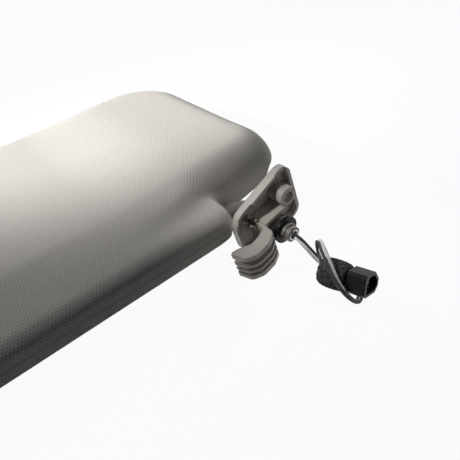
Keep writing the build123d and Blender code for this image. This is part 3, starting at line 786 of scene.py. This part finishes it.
make_wire("black_lead", "black_wire", 1, black_rubber)
make_wire("white_lead", "white_wire", -1, white_rubber)
for name in ("arm_wires", "blade_wires"):
    frame["nodes"][name].data.materials.clear()
    frame["nodes"][name].data.materials.append(white_rubber)
print("foam roll and two leads made")

# %% [markdown]
# ## Floor and light
# A white floor keeps a soft shadow. One narrow warm lamp makes the sunlit zone on the
# blade, and a second lifts the rod side. Weaker lamps open up the bracket, the outboard
# end, the far end and the free edge. The world is faint, so sides that no lamp reaches
# stay dark.

# %% Floor and lamps
bpy.ops.mesh.primitive_plane_add(size=6.0, location=(0, 0, -0.0002))
floor = bpy.context.object
floor.name = "floor"
floor_finish, floor_shader = new_material("white floor", 0.9)
floor_shader.inputs["Base Color"].default_value = (0.9, 0.9, 0.9, 1.0)
glow = add_node(floor_finish, "ShaderNodeEmission", Strength=1.0)
mix = floor_finish.node_tree.nodes.new("ShaderNodeMixShader")
seen = floor_finish.node_tree.nodes.new("ShaderNodeLightPath")
in_view = math_node(floor_finish, "MAXIMUM", seen.outputs["Is Camera Ray"], seen.outputs["Is Glossy Ray"])
in_view = math_node(floor_finish, "MAXIMUM", in_view, seen.outputs["Is Transmission Ray"])
share = math_node(floor_finish, "MULTIPLY", in_view, 0.95)
join(floor_finish, share, mix.inputs[0])
join(floor_finish, floor_shader.outputs[0], mix.inputs[1])
join(floor_finish, glow.outputs[0], mix.inputs[2])
out = floor_finish.node_tree.nodes["Material Output"]
join(floor_finish, mix.outputs[0], out.inputs["Surface"])
floor.data.materials.append(floor_finish)


def hang_lamp(name, lamp_data, position, target, watts):
    """Puts a lamp in its place and turns it to what it lights."""
    lamp_data.energy = watts
    lamp = bpy.data.objects.new(name, lamp_data)
    bpy.context.collection.objects.link(lamp)
    lamp.location = position
    aim = Vector(target) - Vector(position)
    lamp.rotation_euler = aim.to_track_quat("-Z", "Y").to_euler()


def soft_lamp(name, position, target, size, watts):
    """A round lamp of some size, with soft shadows."""
    lamp_data = bpy.data.lights.new(name, "AREA")
    lamp_data.shape = "DISK"
    lamp_data.size = size
    hang_lamp(name, lamp_data, position, target, watts)


def spot_lamp(name, position, target, angle, blend, size, watts):
    """A warm lamp with a cone of some angle in degrees."""
    lamp_data = bpy.data.lights.new(name, "SPOT")
    lamp_data.spot_size = radians(angle)
    lamp_data.spot_blend = blend
    lamp_data.shadow_soft_size = size
    lamp_data.color = (1.0, 0.965, 0.92)
    hang_lamp(name, lamp_data, position, target, watts)


spot_lamp("sunlit window", place(-910, 420, 560), place(2, 152, 10), 15.3, 0.62, 0.04, 77.0)
spot_lamp("left glow", place(-300, 110, 330), place(4, -34, 2), 8.0, 0.7, 0.02, 5.6)
soft_lamp("sky", place(-200, 650, 600), place(0, 30, 0), 0.5, 1.5)
spot_lamp("end fill", place(330, 200, 200), place(10, 64, 0), 16.0, 0.9, 0.1, 11.0)
spot_lamp("inboard fill", place(-350, -60, 620), place(-335, 60, 0), 15.0, 0.7, 0.02, 6.0)
soft_lamp("back window", place(-250, 900, 130), place(-150, 60, 0), 0.5, 3.0)
spot_lamp("near fill", place(210, -270, 240), place(22, -64, -8), 15.0, 0.8, 0.04, 1.5)
world = bpy.data.worlds.new("room")
bpy.context.scene.world = world
world.use_nodes = True
sky = world.node_tree.nodes["Background"]
sky.inputs["Color"].default_value = (0.92, 0.96, 1.0, 1.0)
sky.inputs["Strength"].default_value = 0.018
seen_sky = world.node_tree.nodes.new("ShaderNodeLightPath")
white_sky = world.node_tree.nodes.new("ShaderNodeBackground")
white_sky.inputs["Strength"].default_value = 1.0
sky_mix = world.node_tree.nodes.new("ShaderNodeMixShader")
sky_view = math_node(
    world, "MAXIMUM", seen_sky.outputs["Is Camera Ray"], seen_sky.outputs["Is Glossy Ray"],
)
sky_view = math_node(world, "MAXIMUM", sky_view, seen_sky.outputs["Is Transmission Ray"])
join(world, sky_view, sky_mix.inputs[0])
join(world, sky.outputs[0], sky_mix.inputs[1])
join(world, white_sky.outputs[0], sky_mix.inputs[2])
join(world, sky_mix.outputs[0], world.node_tree.nodes["World Output"].inputs["Surface"])
